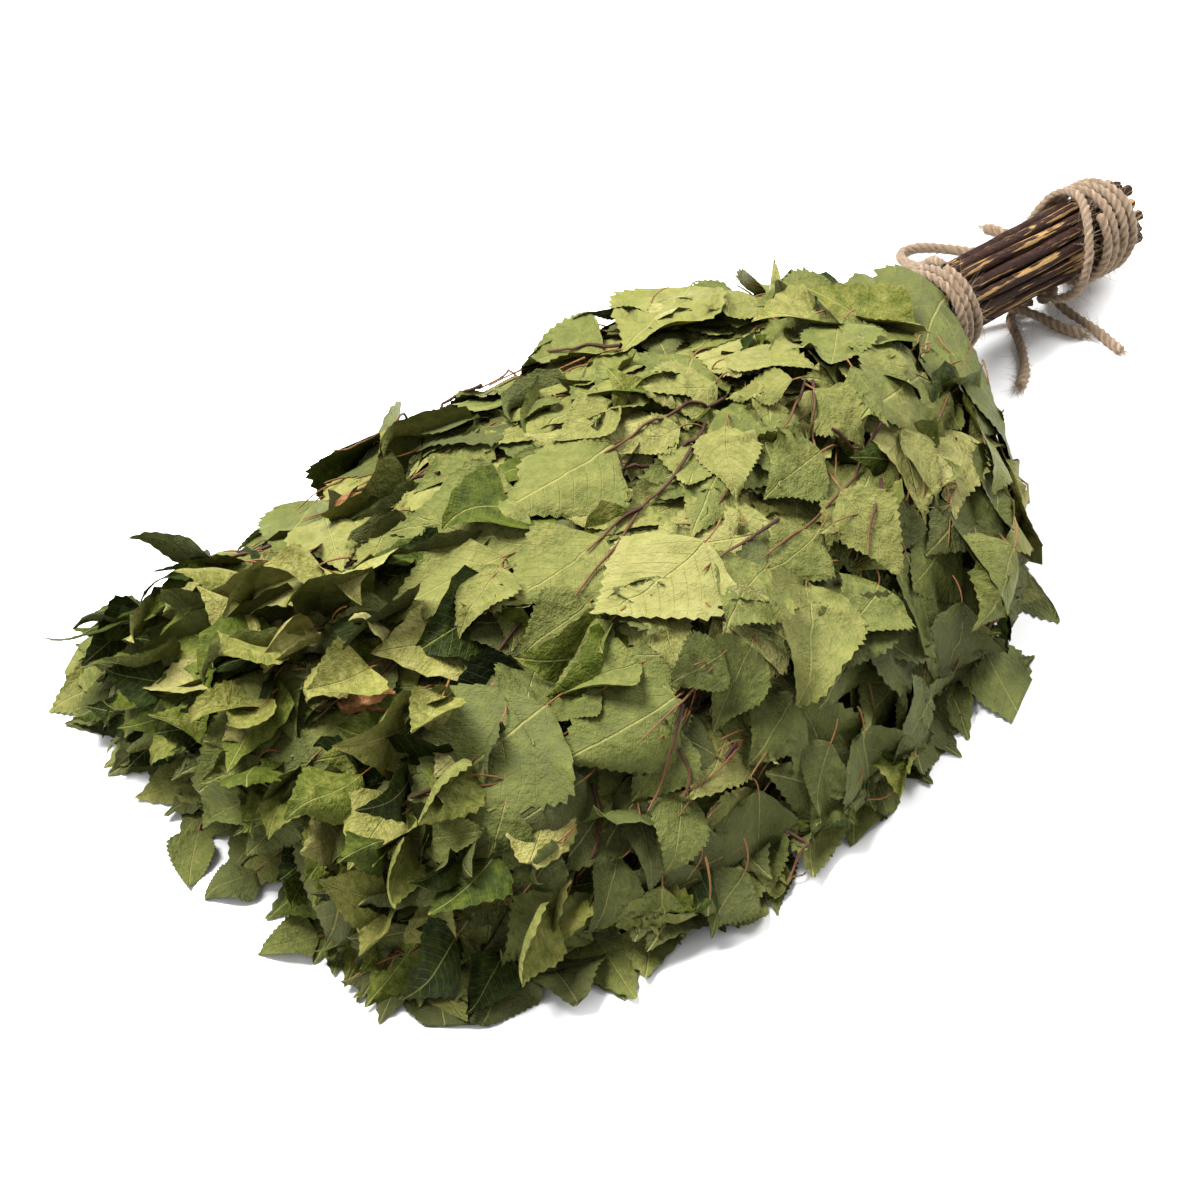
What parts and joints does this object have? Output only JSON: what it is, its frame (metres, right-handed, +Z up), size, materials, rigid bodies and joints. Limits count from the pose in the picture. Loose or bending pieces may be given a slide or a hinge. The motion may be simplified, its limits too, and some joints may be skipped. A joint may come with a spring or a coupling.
{
  "type": "sauna whisk",
  "caption": "Bundle of dried leafy birch branches bound with jute twine, the bare stems forming a handle; lies on a surface, held and swung in a sauna.",
  "frame": {"origin": "on the flat underside of the crown of leaves, where it lies on the table, below the middle of the bundle", "axes": "+X along the whisk towards the cut ends of the handle, +Z up from the table, +Y across the whisk"},
  "size_m": [0.5993, 0.3116, 0.1119],
  "materials": {
    "bark": "dark red-brown young bark, dull, with ochre streaks where it has peeled",
    "leaf": "dry matte birch leaves, sage to olive green with pale veins",
    "twine": "hairy natural jute, tan"
  },
  "bodies": {
    "root": {"stem_01": "bark", "stem_02": "bark", "stem_03": "bark", "stem_04": "bark", "stem_05": "bark", "stem_06": "bark", "stem_07": "bark", "stem_08": "bark", "stem_09": "bark", "stem_10": "bark", "stem_11": "bark", "stem_12": "bark", "stem_13": "bark", "stem_14": "bark", "stem_15": "bark", "stem_16": "bark", "stem_17": "bark", "stem_18": "bark", "stem_19": "bark", "stem_20": "bark", "stem_21": "bark", "stem_22": "bark", "stem_23": "bark", "stem_24": "bark", "leaf_spray_01": "leaf", "leaf_spray_02": "leaf", "leaf_spray_03": "leaf", "leaf_spray_04": "leaf", "leaf_spray_05": "leaf", "leaf_spray_06": "leaf", "leaf_spray_07": "leaf", "leaf_spray_08": "leaf", "leaf_spray_09": "leaf", "leaf_spray_10": "leaf", "leaf_spray_11": "leaf", "leaf_spray_12": "leaf", "leaf_spray_13": "leaf", "leaf_spray_14": "leaf", "leaf_spray_15": "leaf", "leaf_spray_16": "leaf", "leaf_spray_17": "leaf", "leaf_spray_18": "leaf", "leaf_spray_19": "leaf", "leaf_spray_20": "leaf", "leaf_spray_21": "leaf", "leaf_spray_22": "leaf", "leaf_spray_23": "leaf", "leaf_spray_24": "leaf", "neck_binding": "twine", "butt_binding": "twine", "twine_knot": "twine", "twine_loop": "twine", "twine_tail_a": "twine", "twine_tail_b": "twine", "twine_tail_c": "twine", "twine_tail_d": "twine"}
  },
  "joints": []
}
